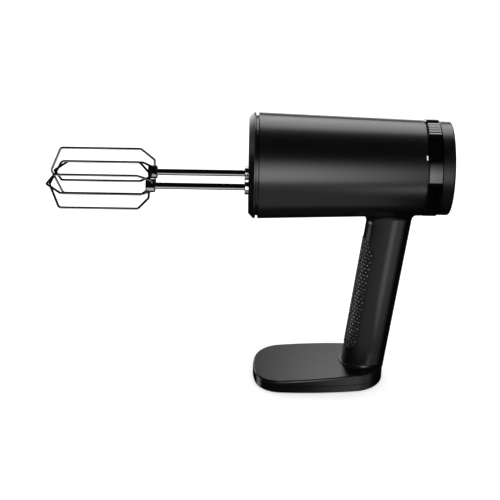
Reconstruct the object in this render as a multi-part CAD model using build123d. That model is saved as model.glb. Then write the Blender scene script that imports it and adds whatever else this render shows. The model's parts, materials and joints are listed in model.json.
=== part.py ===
from build123d import *

import math
import os

# Hand mixer that stands on its base, in millimetres, +Z up.
# The origin is on the table at the middle of the base sole. +X is the rear of the mixer, so the
# beaters point towards -X, and the mixer is symmetric about the XZ plane except for its gears.

# ---- Barrel ------------------------------------------------------------------
AXIS_Z = 230.5  # height of the barrel axis, where the motor turns
BARREL_FRONT_X = -63.5
BARREL_REAR_X = 92.0
BARREL_FRONT_R = 50.3
BARREL_REAR_R = 45.3
BARREL_WALL = 2.6
REAR_WALL_X = 88.5  # front face of the wall that closes the barrel's rear
REAR_WALL_HOLE_R = 31.5

# ---- Front cap ---------------------------------------------------------------
CAP_FRONT_X = -72.3
CAP_RIM_X = -65.8  # rear end of the visible rim, where the groove starts
CAP_R = 50.3
CAP_CHAMFER = 4.2
CAP_GROOVE_DEPTH = 2.8
CAP_WALL = 3.0
CAP_SPIGOT = 5.2

# ---- Speed dial and rear cap -------------------------------------------------
DIAL_FRONT_X = 92.6
DIAL_REAR_X = 106.0
DIAL_R = 45.5
DIAL_BORE_R = 42.0
DIAL_BEVEL = 0.8
PAD_HALF_ANGLE = 24.0  # degrees, either side of the top
PAD_RAISE = 0.7
PAD_RIBS = 13
PAD_RIB_WIDTH = 2.2
REAR_CAP_FRONT_X = 106.3
REAR_CAP_REAR_X = 117.5
REAR_CAP_R = 44.4
REAR_CAP_ROUND = 1.6
SLEEVE_R = 41.7  # the fixed sleeve that the dial turns on
SLEEVE_WALL = 2.5

# ---- Handle ------------------------------------------------------------------
HANDLE_FOOT_X = 45.3  # handle axis where it meets Z = 0
HANDLE_LEAN = 0.1078  # rise of X with Z along the handle
HANDLE_DEPTH = 43.4  # along X
HANDLE_WIDTH = 39.6  # along Y
HANDLE_WALL = 2.6
HANDLE_BLEND_R = 9.0  # fillet between the handle and the barrel
FOOT_BLEND_R = 3.5  # fillet between the handle and the base
FLARE_SINK = 0.05  # the fillet ends this far under the top of the base
FLARE_INSET = 2.4  # the fillet stays this far inside the base's outline
GRIP_LOW_Z = 37.0
GRIP_HIGH_Z = 159.0
GRIP_HALF_WIDTH = 17.6  # along Y
GRIP_DEPTH = 1.2

# ---- Base --------------------------------------------------------------------
# The outline is four arcs, each tangent to the next: front, corner, side and rear.
BASE_FRONT_X = -64.1
BASE_FRONT_R = 75.0
BASE_CORNER_R = 26.0
BASE_CORNER_Y = 11.3  # of the corner's centre
BASE_SIDE_R = 400.0
BASE_REAR_X = 67.8
BASE_REAR_R = 33.2
BASE_TOP_Z = 16.5  # top face above the origin
BASE_TOP_SLOPE = 0.073  # rise of the top face along X
BASE_TOP_ROUND = 2.2
BASE_WALL = 2.6
SEAM_Z = 8.5
SEAM_GAP = 0.5
COVER_BOTTOM_Z = 0.4
COVER_ROUND = 1.4
SOLE_INSET = 9.0
SOLE_THICK = 2.0
BASE_SCREWS = [(-44.0, 24.0), (-44.0, -24.0), (22.0, 24.0), (22.0, -24.0)]

# ---- Spindles and gears ------------------------------------------------------
SPINDLE_Y = 16.8  # half the distance between the two spindles
SPINDLE_Z = 215.0
SPINDLE_R = 6.0
SPINDLE_BORE_R = 3.12
SPINDLE_FRONT_X = -75.4
SPINDLE_REAR_X = -25.0
COLLAR_FRONT_X = -76.1
COLLAR_R = 7.0
BUSH_R = 8.0
RUNNING = 0.07  # radial clearance of a shaft in its bearing

PRESSURE_ANGLE = math.radians(20)
ADDENDUM = 0.75
DEDENDUM = 1.05
BACKLASH = 0.08  # taken off each tooth's thickness
OUTPUT_MODULE = 0.8
OUTPUT_TEETH = 42
LAYSHAFT_SMALL_TEETH = 14
INPUT_MODULE = 0.6
INPUT_TEETH = 12
LAYSHAFT_BIG_TEETH = 48
OUTPUT_GEAR_X = (-50.0, -42.0)
LAYSHAFT_BIG_X = (-38.5, -32.5)
MOTOR_PINION_X = (-39.5, -31.5)

# ---- Motor -------------------------------------------------------------------
MOTOR_R = 25.0
MOTOR_FRONT_X = -10.0
MOTOR_REAR_X = 56.0
SHAFT_R = 2.5

# ---- Beaters -----------------------------------------------------------------
BEATER_SHAFT_R = 3.05
BEATER_TAIL_X = -48.0
FERRULE_X = (-169.0, -160.0)
FERRULE_R = 6.3
WIRE_R = 1.1
CAGE_R = 23.5
CAGE_TIP_X = -262.3
TIP_RUN = 10.3  # length of the cage's slanting front end
WIRE_BEND = 3.4
LOOP_STEP = 2.9  # the inner loop is this much shorter at the tip, so that the wires cross


def handle_x(z):
    """X of the handle axis at height z."""
    return HANDLE_FOOT_X + HANDLE_LEAN * z


def barrel_r(x):
    """Outer radius of the barrel cone at x."""
    share = (x - BARREL_FRONT_X) / (BARREL_REAR_X - BARREL_FRONT_X)
    return BARREL_FRONT_R + share * (BARREL_REAR_R - BARREL_FRONT_R)


def layshaft_centre():
    """Y and Z of the intermediate gear, from its distances to the motor and the far spindle."""
    to_motor = INPUT_MODULE * (INPUT_TEETH + LAYSHAFT_BIG_TEETH) / 2
    to_spindle = OUTPUT_MODULE * (OUTPUT_TEETH + LAYSHAFT_SMALL_TEETH) / 2
    drop = AXIS_Z - SPINDLE_Z
    apart = math.hypot(SPINDLE_Y, drop)
    along = (to_motor**2 - to_spindle**2 + apart**2) / (2 * apart)
    across = math.sqrt(to_motor**2 - along**2)
    unit_y = SPINDLE_Y / apart
    unit_z = -drop / apart
    return (unit_y * along - unit_z * across, AXIS_Z + unit_z * along + unit_y * across)


LAYSHAFT_Y, LAYSHAFT_Z = layshaft_centre()


def export(shape, name):
    export_step(shape, "parts/" + name + ".step")


def rod(x0, x1, r, y=0.0, z=AXIS_Z):
    """Cylinder along X."""
    plane = Plane(origin=(x0, y, z), x_dir=(0, 1, 0), z_dir=(1, 0, 0))
    return extrude(plane * Circle(r), x1 - x0)


def tube(x0, x1, r_out, r_in, y=0.0, z=AXIS_Z):
    """Tube along X."""
    return rod(x0, x1, r_out, y, z) - rod(x0 - 1, x1 + 1, r_in, y, z)


def block(x0, x1, y0, y1, z0, z1):
    """Box between two corners."""
    centre = ((x0 + x1) / 2, (y0 + y1) / 2, (z0 + z1) / 2)
    return Pos(*centre) * Box(x1 - x0, y1 - y0, z1 - z0)


def post(x, y, z0, z1, r):
    """Cylinder along Z."""
    return Pos(x, y, (z0 + z1) / 2) * Cylinder(r, z1 - z0)


def turned(points):
    """Solid turned about the barrel axis from (x, r) points."""
    corners = [(x, 0, AXIS_Z + r) for x, r in points]
    profile = make_face(Polyline(*corners, close=True))
    return revolve(profile, Axis((0, 0, AXIS_Z), (1, 0, 0)), 360)


def about_axis(shape, degrees, y=0.0, z=AXIS_Z):
    """Turn a shape about a line along X, positive from the top to the near side."""
    return Pos(0, y, z) * Rot(degrees, 0, 0) * Pos(0, -y, -z) * shape


# ---- Base shells -------------------------------------------------------------


def base_arc_centres():
    """Centres of the front, corner, side and rear arcs, on the far half of the base."""
    front = Vector(BASE_FRONT_X + BASE_FRONT_R, 0)
    back = math.sqrt((BASE_FRONT_R - BASE_CORNER_R) ** 2 - BASE_CORNER_Y**2)
    corner = Vector(front.X - back, BASE_CORNER_Y)
    rear = Vector(BASE_REAR_X - BASE_REAR_R, 0)
    to_corner = BASE_SIDE_R - BASE_CORNER_R
    to_rear = BASE_SIDE_R - BASE_REAR_R
    span = rear - corner
    along = (to_corner**2 - to_rear**2 + span.length**2) / (2 * span.length)
    across = math.sqrt(to_corner**2 - along**2)
    unit = span.normalized()
    side = corner + unit * along + Vector(unit.Y, -unit.X) * across
    return front, corner, side, rear


def arc_about(centre, start, end):
    """Short arc about a centre."""
    middle = centre + ((start - centre) + (end - centre)).normalized() * (start - centre).length
    return ThreePointArc(start, middle, end)


def base_outline(inset, z):
    """Face of the base outline, drawn in by inset, at height z."""
    front, corner, side, rear = base_arc_centres()
    corner_start = corner + (corner - front).normalized() * (BASE_CORNER_R - inset)
    corner_end = corner + (corner - side).normalized() * (BASE_CORNER_R - inset)
    side_end = rear + (rear - side).normalized() * (BASE_REAR_R - inset)
    front_tip = Vector(BASE_FRONT_X + inset, 0)
    rear_tip = Vector(BASE_REAR_X - inset, 0)
    half = [
        arc_about(front, front_tip, corner_start),
        arc_about(corner, corner_start, corner_end),
        arc_about(side, corner_end, side_end),
        arc_about(rear, side_end, rear_tip),
    ]
    other = [mirror(arc, Plane.XZ) for arc in half]
    return Pos(0, 0, z) * make_face(half + other)


def under_slope(shape, top_z):
    """Cut a shape off at the sloping plane that passes top_z above the origin."""
    lean = math.degrees(math.atan(BASE_TOP_SLOPE))
    cutter = Pos(0, 0, top_z) * Rot(0, -lean, 0) * Pos(0, 0, 50) * Box(300, 200, 100)
    return shape - cutter


def base_upper_solid():
    """Outer block of the base above the seam, with its top edge rounded."""
    raw = extrude(base_outline(0, SEAM_Z + SEAM_GAP / 2), 20)
    raw = under_slope(raw, BASE_TOP_Z)
    top = raw.faces().sort_by(Axis.Z)[-1]
    return fillet(top.edges(), BASE_TOP_ROUND)


def base_upper_hollow():
    """Inside of the base above the seam."""
    raw = extrude(base_outline(BASE_WALL, 0), 30)
    return under_slope(raw, BASE_TOP_Z - BASE_WALL)


# ---- Handle ------------------------------------------------------------------


def handle_column(inset, z0, z1):
    """Leaning elliptical column of the handle between two heights."""
    section = Ellipse(HANDLE_DEPTH / 2 - inset, HANDLE_WIDTH / 2 - inset)
    face = Pos(handle_x(z0), 0, z0) * section
    lean = Vector(HANDLE_LEAN, 0, 1)
    return extrude(face, (z1 - z0) * lean.length, dir=lean.normalized())


def grip_band():
    """Block that covers the front of the handle where the grip is, with rounded corners."""
    mid_z = (GRIP_LOW_Z + GRIP_HIGH_Z) / 2
    plane = Plane(origin=(handle_x(mid_z) - 40, 0, mid_z), x_dir=(0, 1, 0), z_dir=(1, 0, 0))
    face = plane * RectangleRounded(2 * GRIP_HALF_WIDTH, GRIP_HIGH_Z - GRIP_LOW_Z, 12)
    return extrude(face, 40 - 4)


def grip_inlay():
    """Soft grip set flush into the front of the handle."""
    ring = handle_column(0, GRIP_LOW_Z - 5, GRIP_HIGH_Z + 5) - handle_column(
        GRIP_DEPTH, GRIP_LOW_Z - 6, GRIP_HIGH_Z + 6
    )
    return ring & grip_band()


# ---- Main housing ------------------------------------------------------------


BARREL_EDGE = 0.6  # bevel at both ends of the barrel
BLEND_REACH_X = 125.0  # the cone runs on to here while the handle is blended in


def long_barrel():
    """Outer cone of the barrel, run on behind its rear end."""
    return turned(
        [
            (BARREL_FRONT_X, 0),
            (BARREL_FRONT_X, BARREL_FRONT_R - BARREL_EDGE),
            (BARREL_FRONT_X + BARREL_EDGE, barrel_r(BARREL_FRONT_X + BARREL_EDGE)),
            (BLEND_REACH_X, barrel_r(BLEND_REACH_X)),
            (BLEND_REACH_X, 0),
        ]
    )


def behind_barrel():
    """Everything behind the barrel's bevelled rear end."""
    outside = 80.0
    return turned(
        [
            (BARREL_REAR_X, 0),
            (BARREL_REAR_X, BARREL_REAR_R - BARREL_EDGE),
            (BARREL_REAR_X - BARREL_EDGE, barrel_r(BARREL_REAR_X - BARREL_EDGE)),
            (BARREL_REAR_X - BARREL_EDGE, outside),
            (BLEND_REACH_X + 5, outside),
            (BLEND_REACH_X + 5, 0),
        ]
    )


def barrel_hollow():
    rear_r = barrel_r(REAR_WALL_X) - BARREL_WALL
    return turned(
        [
            (BARREL_FRONT_X - 1, 0),
            (BARREL_FRONT_X - 1, BARREL_FRONT_R - BARREL_WALL),
            (REAR_WALL_X, rear_r),
            (REAR_WALL_X, REAR_WALL_HOLE_R),
            (BARREL_REAR_X + 1, REAR_WALL_HOLE_R),
            (BARREL_REAR_X + 1, 0),
        ]
    )


def is_barrel_seam(edge):
    """True for the edge where the handle runs into the barrel."""
    box = edge.bounding_box()
    return box.min.Z > 170 and box.max.Z < 215 and box.size.X > 20


def is_foot_seam(edge):
    """True for the edge where the handle stands on the base."""
    box = edge.bounding_box()
    return box.min.Z > 12 and box.max.Z < 30 and box.size.X > 20 and box.size.X < 60


def foot_flare():
    """Lower end of the handle, flared out to just under the top of the base."""
    slab = under_slope(block(-90, 120, -60, 60, 0, 40), BASE_TOP_Z - FLARE_SINK)
    both = slab + handle_column(0, 10.0, 40.0)
    flared = fillet(both.edges().filter_by(is_foot_seam), FOOT_BLEND_R)
    inside = extrude(base_outline(FLARE_INSET, SEAM_Z + 3), 60)
    return (flared & inside) & under_slope(extrude(base_outline(0, SEAM_Z + 3), 60), BASE_TOP_Z + 12)


def main_housing():
    """Barrel, handle and upper base in one moulding."""
    body = long_barrel() + handle_column(0, 14.0, AXIS_Z - 30)
    seam = body.edges().filter_by(is_barrel_seam)
    body = fillet(seam, HANDLE_BLEND_R)
    body = body - behind_barrel()
    body = body + base_upper_solid() + foot_flare()
    body = body - barrel_hollow()
    body = body - handle_column(HANDLE_WALL, -5, AXIS_Z - 30)
    body = body - base_upper_hollow()
    body = body - grip_inlay()
    for x, y in BASE_SCREWS:
        boss = post(x, y, SEAM_Z + 0.2, BASE_TOP_Z + BASE_TOP_SLOPE * x - BASE_WALL + 0.5, 3.6)
        body = body + boss
        body = body - post(x, y, 0, 13.0, 1.4)
    body = body - charging_port_opening()
    for degrees in REAR_SCREW_ANGLES:
        body = body - about_axis(rod(80, 100, 1.4, 0, AXIS_Z + REAR_SCREW_R), degrees)
    return body - block(80, 100, -6.5, 6.5, AXIS_Z, LINK_Z + 3.5)


# ---- Base cover, sole, ballast and screws ------------------------------------


def bottom_cover():
    """Lower tray of the base, with its lower edge rounded and a lip that locates the housing."""
    top_z = SEAM_Z - SEAM_GAP / 2
    tray = extrude(base_outline(0, COVER_BOTTOM_Z), top_z - COVER_BOTTOM_Z)
    low = tray.faces().sort_by(Axis.Z)[0]
    tray = fillet(low.edges(), COVER_ROUND)
    tray = tray - extrude(base_outline(BASE_WALL + 1.5, COVER_BOTTOM_Z + 3.4), 20)
    lip_inset = BASE_WALL + 0.15
    lip = extrude(base_outline(lip_inset, top_z - 1), 1.8)
    lip = lip - extrude(base_outline(lip_inset + 1.4, top_z - 3), 9)
    tray = tray + lip
    tray = tray - extrude(base_outline(SOLE_INSET, -1), SOLE_THICK + 1)
    for x, y in BASE_SCREWS:
        tray = tray + post(x, y, COVER_BOTTOM_Z + 1.8, SEAM_Z - 0.1, 3.6)
        tray = tray - post(x, y, 0, 10, 1.6)
        tray = tray - post(x, y, 0, SOLE_THICK + 2.4, 3.1)
    return tray - charging_port_opening()


def foot_sole():
    """Rubber sole that the mixer stands on."""
    pad = extrude(base_outline(SOLE_INSET + 0.1, 0), SOLE_THICK)
    low = pad.faces().sort_by(Axis.Z)[0]
    return chamfer(low.edges(), 0.5)


def base_screws():
    screws = []
    for x, y in BASE_SCREWS:
        head = post(x, y, SOLE_THICK + 0.1, SOLE_THICK + 2.4, 2.8)
        shank = post(x, y, SOLE_THICK + 1, 12.5, 1.4)
        cross = block(x - 1.8, x + 1.8, y - 0.4, y + 0.4, SOLE_THICK, SOLE_THICK + 1.2)
        cross = cross + block(x - 0.4, x + 0.4, y - 1.8, y + 1.8, SOLE_THICK, SOLE_THICK + 1.2)
        screws.append((head + shank) - cross)
    return Compound(screws)


def ballast_plate():
    """Steel plate in the base that balances the beaters."""
    plate = block(-50, 12, -27, 27, 4.0, 8.0)
    for x, y in BASE_SCREWS:
        plate = plate - post(x, y, 0, 20, 4.6)
    return plate


PORT_Z = 6.4


def charging_port_opening():
    """Mouth in the rear of the base for the charging port."""
    return block(58, 80, -5.1, 5.1, PORT_Z - 2.0, PORT_Z + 2.0)


def charging_port():
    """Metal charging socket in the rear of the base."""
    shell = block(58.5, 66.5, -5.0, 5.0, PORT_Z - 1.9, PORT_Z + 1.9)
    shell = fillet(shell.edges().filter_by(Axis.X), 1.7)
    mouth = block(59.5, 70, -4.5, 4.5, PORT_Z - 1.4, PORT_Z + 1.4)
    mouth = fillet(mouth.edges().filter_by(Axis.X), 1.3)
    tongue = block(59.5, 65.5, -3.4, 3.4, PORT_Z - 0.35, PORT_Z + 0.35)
    return shell - mouth + tongue


def charging_board():
    """Charging circuit board, between the cover's screw posts and the port."""
    board = block(30.0, 58.4, -13, 13, 4.2, 5.8)
    chips = [(37, -6, 7, 7, 1.2), (37, 6, 6, 8, 2.6), (47, 0, 8, 8, 1.4), (53, 8, 4, 5, 2.0)]
    for x, y, sx, sy, h in chips:
        board = board + block(x - sx / 2, x + sx / 2, y - sy / 2, y + sy / 2, 5.7, 5.8 + h)
    return board


# ---- Front cap and rear cap --------------------------------------------------


def front_cap():
    spigot_r = BARREL_FRONT_R - BARREL_WALL - 0.35
    groove_r = CAP_R - CAP_GROOVE_DEPTH
    soft = 0.5
    cap = turned(
        [
            (CAP_FRONT_X, 0),
            (CAP_FRONT_X, CAP_R - CAP_CHAMFER - soft),
            (CAP_FRONT_X + soft, CAP_R - CAP_CHAMFER),
            (CAP_FRONT_X + CAP_CHAMFER, CAP_R - soft),
            (CAP_FRONT_X + CAP_CHAMFER + soft, CAP_R),
            (CAP_RIM_X - soft, CAP_R),
            (CAP_RIM_X, CAP_R - soft),
            (CAP_RIM_X, groove_r),
            (BARREL_FRONT_X, groove_r),
            (BARREL_FRONT_X, spigot_r),
            (BARREL_FRONT_X + CAP_SPIGOT, spigot_r),
            (BARREL_FRONT_X + CAP_SPIGOT, spigot_r - 2.4),
            (CAP_FRONT_X + CAP_WALL + 3, spigot_r - 2.4),
            (CAP_FRONT_X + CAP_WALL, spigot_r - 5.4),
            (CAP_FRONT_X + CAP_WALL, 0),
        ]
    )
    for y in (SPINDLE_Y, -SPINDLE_Y):
        cap = cap - rod(CAP_FRONT_X - 1, CAP_FRONT_X + 8, COLLAR_R, y, SPINDLE_Z)
    return cap


def beater_collars():
    """Two flanged collars where the beaters go in."""
    collars = []
    for y in (SPINDLE_Y, -SPINDLE_Y):
        collar = rod(COLLAR_FRONT_X, CAP_FRONT_X + CAP_WALL, COLLAR_R, y, SPINDLE_Z)
        front = collar.faces().sort_by(Axis.X)[0]
        collar = fillet(front.edges(), 0.8)
        collar = collar + rod(
            CAP_FRONT_X + CAP_WALL, CAP_FRONT_X + CAP_WALL + 1.5, COLLAR_R + 1.5, y, SPINDLE_Z
        )
        collars.append(collar - rod(-90, -50, SPINDLE_R + RUNNING, y, SPINDLE_Z))
    return Compound(collars)


REAR_SCREW_R = 35.4
REAR_SCREW_ANGLES = (60, 180, 300)
SPIDER_X = (100.0, 102.0)
BUTTON_R = 11.0
BUTTON_REAR_X = 123.0
BUTTON_FLANGE_X = (110.0, 112.0)
STEM_R = 3.5
SPRING_R = (5.0, 8.4)
SPRING_WASHERS = 4
SLOT_X = (REAR_CAP_REAR_X - 1.5, REAR_CAP_REAR_X + 1.0)  # cross slots of the rear cap's screws


def rear_cap():
    """Rear cap with the sleeve that carries the dial and a spider that guides the eject stem."""
    sleeve_in = SLEEVE_R - SLEEVE_WALL
    steps = 5
    rounded = []
    for i in range(steps + 1):
        a = math.radians(90 * i / steps)
        x = REAR_CAP_REAR_X - REAR_CAP_ROUND * (1 - math.sin(a))
        r = REAR_CAP_R - REAR_CAP_ROUND * (1 - math.cos(a))
        rounded.append((x, r))
    cap = turned(
        [(REAR_CAP_FRONT_X, SLEEVE_R), (REAR_CAP_FRONT_X, REAR_CAP_R)]
        + rounded
        + [
            (REAR_CAP_REAR_X, 0),
            (REAR_CAP_REAR_X - 2.8, 0),
            (REAR_CAP_REAR_X - 2.8, sleeve_in),
            (BARREL_REAR_X, sleeve_in),
            (BARREL_REAR_X, SLEEVE_R),
        ]
    )
    spider = tube(SPIDER_X[0], SPIDER_X[1], sleeve_in + 0.5, 28)
    spider = spider + (
        block(SPIDER_X[0], SPIDER_X[1], -30, 30, AXIS_Z - 5, AXIS_Z + 5)
        + rod(SPIDER_X[0], SPIDER_X[1], 9)
    )
    cap = cap + spider
    for degrees in REAR_SCREW_ANGLES:
        boss = rod(BARREL_REAR_X, REAR_CAP_REAR_X - 2, 4.0, 0, AXIS_Z + REAR_SCREW_R)
        hole = rod(80, 130, 1.6, 0, AXIS_Z + REAR_SCREW_R)
        recess = rod(REAR_CAP_REAR_X - 2.6, 130, 3.1, 0, AXIS_Z + REAR_SCREW_R)
        cap = cap + (about_axis(boss, degrees) & rod(90, REAR_CAP_REAR_X - 0.5, sleeve_in + 0.2))
        cap = cap - about_axis(hole + recess, degrees)
    cap = cap - rod(REAR_CAP_REAR_X - 5, 130, BUTTON_R + 0.4)
    return cap - rod(90, SPIDER_X[1] + 3, STEM_R + RUNNING)


def rear_cap_screws():
    screws = []
    for degrees in REAR_SCREW_ANGLES:
        z = AXIS_Z + REAR_SCREW_R
        head = rod(REAR_CAP_REAR_X - 2.6, REAR_CAP_REAR_X - 0.5, 2.8, 0, z)
        shank = rod(REAR_WALL_X + 0.5, REAR_CAP_REAR_X - 2, 1.4, 0, z)
        slot = block(SLOT_X[0], SLOT_X[1], -0.4, 0.4, z - 1.8, z + 1.8)
        slot = slot + block(SLOT_X[0], SLOT_X[1], -1.8, 1.8, z - 0.4, z + 0.4)
        screws.append(about_axis((head + shank) - slot, degrees))
    return Compound(screws)


# ---- Speed dial --------------------------------------------------------------

DETENT_STEP = 22.0
DETENT_COUNT = 6
DIAL_MAGNET_ANGLE = 150.0
MARK_ANGLE = 56.3
MARK_HALF_WIDTH = 2.1
MARK_THICK = 0.12


def speed_dial():
    """Glossy ring with a ribbed thumb pad on top."""
    ring = turned(
        [
            (DIAL_FRONT_X, DIAL_BORE_R),
            (DIAL_FRONT_X, DIAL_R - DIAL_BEVEL),
            (DIAL_FRONT_X + DIAL_BEVEL, DIAL_R),
            (DIAL_REAR_X - DIAL_BEVEL, DIAL_R),
            (DIAL_REAR_X, DIAL_R - DIAL_BEVEL),
            (DIAL_REAR_X, DIAL_BORE_R),
        ]
    )
    step = 2 * PAD_HALF_ANGLE / (PAD_RIBS - 1)
    mid_x = (DIAL_FRONT_X + DIAL_REAR_X) / 2
    length = DIAL_REAR_X - DIAL_FRONT_X - 2 * DIAL_BEVEL
    for i in range(PAD_RIBS):
        rib = Pos(mid_x, 0, AXIS_Z + DIAL_R + PAD_RAISE - 1.0) * Box(length, PAD_RIB_WIDTH, 2.0)
        rib = chamfer(rib.faces().sort_by(Axis.Z)[-1].edges(), 0.3)
        ring = ring + about_axis(rib, -PAD_HALF_ANGLE + i * step)
    gap = DIAL_R * math.radians(step) - PAD_RIB_WIDTH
    for i in range(PAD_RIBS - 1):
        groove = Pos(mid_x, 0, AXIS_Z + DIAL_R + 1.0) * Box(length, gap, 3.6)
        ring = ring - about_axis(groove, -PAD_HALF_ANGLE + (i + 0.5) * step)
    for i in range(DETENT_COUNT):
        notch = rod(DIAL_FRONT_X - 1, DIAL_FRONT_X + 5, 1.6, 0, AXIS_Z - DIAL_BORE_R - 0.4)
        ring = ring - about_axis(notch, -i * DETENT_STEP)
    return ring - dial_magnet()


def dial_magnet():
    """Small magnet in the bore of the dial that the control board senses."""
    x = (DIAL_FRONT_X + DIAL_REAR_X) / 2
    magnet = Pos(x, 0, AXIS_Z + DIAL_BORE_R + 1.4) * Cylinder(2.0, 1.8)
    return about_axis(magnet, DIAL_MAGNET_ANGLE)


def dial_detent_spring():
    """Spring blade on the barrel's rear wall, against the notched front of the dial."""
    z = AXIS_Z - DIAL_BORE_R
    return block(BARREL_REAR_X, BARREL_REAR_X + 0.25, -9, 9, z - 2.2, z)


def index_mark():
    """Printed white tick on the barrel, right beside the dial."""
    x0 = BARREL_REAR_X - BARREL_EDGE - 1.25
    x1 = BARREL_REAR_X - BARREL_EDGE - 0.05
    mark = block(x0, x1, -MARK_HALF_WIDTH, MARK_HALF_WIDTH, AXIS_Z + 40, AXIS_Z + 50)
    skin = turned(
        [
            (x0 - 1, barrel_r(x0 - 1)),
            (x0 - 1, barrel_r(x0 - 1) + MARK_THICK),
            (x1 + 1, barrel_r(x1 + 1) + MARK_THICK),
            (x1 + 1, barrel_r(x1 + 1)),
        ]
    )
    return about_axis(mark & skin, MARK_ANGLE)


# ---- Eject mechanism ---------------------------------------------------------

LINK_Z = AXIS_Z + 33.0
LINK_THICK = 1.6
FORK_X = (-16.6, -15.0)


def eject_button():
    """Round button in the rear cap, on a stem that slides in the spider."""
    head = rod(BUTTON_FLANGE_X[0], BUTTON_REAR_X, BUTTON_R)
    rear = head.faces().sort_by(Axis.X)[-1]
    head = fillet(rear.edges(), 2.0)
    stem = rod(93.0, BUTTON_FLANGE_X[1], STEM_R)
    return head + stem


def eject_link():
    """Sheet metal strap from the stem over the motor to the fork that pushes both pins."""
    rear_leg = block(93.2, 93.2 + LINK_THICK, -5, 5, AXIS_Z - 6, LINK_Z + LINK_THICK)
    rear_leg = rear_leg - rod(90, 96, STEM_R)
    bar = block(FORK_X[0], 93.2 + LINK_THICK, -5, 5, LINK_Z, LINK_Z + LINK_THICK)
    fork = block(FORK_X[0], FORK_X[1], -5, 5, AXIS_Z + 24, LINK_Z + LINK_THICK)
    arch = tube(FORK_X[0], FORK_X[1], 27.0, 18.5) & block(-20, -10, -40, 40, SPINDLE_Z - 4, AXIS_Z + 40)
    fork = fork + arch
    for y in (SPINDLE_Y, -SPINDLE_Y):
        fork = fork + rod(FORK_X[0], FORK_X[1], 4.5, y, SPINDLE_Z)
    return rear_leg + bar + fork


def eject_return_spring():
    """Stack of conical spring washers between the spider and the button."""
    lean = 0.9
    half = 0.25
    low_x = SPIDER_X[1] + lean + half
    high_x = BUTTON_FLANGE_X[0] - lean - half
    stack = []
    for i in range(SPRING_WASHERS):
        x = low_x + (high_x - low_x) * i / (SPRING_WASHERS - 1)
        tilt = lean if i % 2 == 0 else -lean
        washer = [
            (x - tilt - half, SPRING_R[0]),
            (x + tilt - half, SPRING_R[1]),
            (x + tilt + half, SPRING_R[1]),
            (x - tilt + half, SPRING_R[0]),
        ]
        stack.append(turned(washer))
    return stack[0].fuse(*stack[1:])


def push_pin(y):
    """Pin inside a spindle that pushes the beater out."""
    shaft = rod(BEATER_TAIL_X + 0.05, FORK_X[0] - 0.05, SPINDLE_BORE_R - RUNNING, y, SPINDLE_Z)
    return shaft


# ---- Gears -------------------------------------------------------------------


def involute(angle):
    return math.tan(angle) - angle


def gear_face(teeth, module):
    """Outline of a spur gear with involute flanks, a tooth centred on the first axis."""
    pitch_r = module * teeth / 2
    base_r = pitch_r * math.cos(PRESSURE_ANGLE)
    tip_r = pitch_r + ADDENDUM * module
    root_r = pitch_r - DEDENDUM * module
    half_pitch = math.pi / (2 * teeth) - BACKLASH / (2 * pitch_r)
    low_r = max(base_r, root_r)
    flank = []
    for i in range(4):
        r = low_r + (tip_r - low_r) * i / 3
        flank.append((r, half_pitch + involute(PRESSURE_ANGLE) - involute(math.acos(base_r / r))))
    if root_r < base_r:
        flank.insert(0, (root_r, flank[0][1]))
    points = []
    for tooth in range(teeth):
        centre = 2 * math.pi * tooth / teeth
        for r, a in flank:
            points.append((r * math.cos(centre - a), r * math.sin(centre - a)))
        for r, a in reversed(flank):
            points.append((r * math.cos(centre + a), r * math.sin(centre + a)))
    return make_face(Polyline(*points, close=True))


def gear(teeth, module, span, y, z, phase, bore_r):
    """Spur gear along X with its bore."""
    plane = Plane(origin=(span[0], y, z), x_dir=(0, 1, 0), z_dir=(1, 0, 0))
    face = Rot(0, 0, math.degrees(phase)) * gear_face(teeth, module)
    blank = extrude(plane * face, span[1] - span[0])
    if bore_r > 0:
        blank = blank - rod(span[0] - 1, span[1] + 1, bore_r, y, z)
    return blank


def meshed_phase(phase_a, teeth_a, teeth_b, direction):
    """Phase of gear b so that it meshes with gear a, which it lies from in this direction."""
    share_a = (direction - phase_a) * teeth_a / (2 * math.pi)
    share_b = 0.5 - share_a
    return direction + math.pi - share_b * 2 * math.pi / teeth_b


def gear_phases():
    """Phases of the near gear, the layshaft's two gears and the motor pinion."""
    near = meshed_phase(0, OUTPUT_TEETH, OUTPUT_TEETH, math.pi)
    to_layshaft = math.atan2(LAYSHAFT_Z - SPINDLE_Z, LAYSHAFT_Y - SPINDLE_Y)
    small = meshed_phase(0, OUTPUT_TEETH, LAYSHAFT_SMALL_TEETH, to_layshaft)
    to_motor = math.atan2(AXIS_Z - LAYSHAFT_Z, -LAYSHAFT_Y)
    pinion = meshed_phase(0, LAYSHAFT_BIG_TEETH, INPUT_TEETH, to_motor)
    return near, small, pinion


PIN_R = 2.0


def intermediate_gear(small_phase):
    """Compound gear: 48 teeth driven by the motor, 14 teeth that drive the far spindle."""
    big = gear(LAYSHAFT_BIG_TEETH, INPUT_MODULE, LAYSHAFT_BIG_X, LAYSHAFT_Y, LAYSHAFT_Z, 0, 0)
    small_x = (OUTPUT_GEAR_X[0], LAYSHAFT_BIG_X[0])
    small = gear(LAYSHAFT_SMALL_TEETH, OUTPUT_MODULE, small_x, LAYSHAFT_Y, LAYSHAFT_Z, small_phase, 0)
    hub = rod(LAYSHAFT_BIG_X[0], LAYSHAFT_BIG_X[1] + 1.0, 4.0, LAYSHAFT_Y, LAYSHAFT_Z)
    bore = rod(-60, -20, PIN_R + RUNNING, LAYSHAFT_Y, LAYSHAFT_Z)
    return big + small + hub - bore


def intermediate_gear_pin():
    return rod(-58.0, -27.5, PIN_R, LAYSHAFT_Y, LAYSHAFT_Z)


# ---- Gearbox frame -----------------------------------------------------------

FRONT_PLATE_X = (-58.0, -54.0)
REAR_PLATE_X = (-30.5, -27.5)
PILLARS = [(33.0, 248.0), (-33.0, 248.0), (0.0, 194.5)]
MOTOR_BOSS_Y = 14.0


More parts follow.
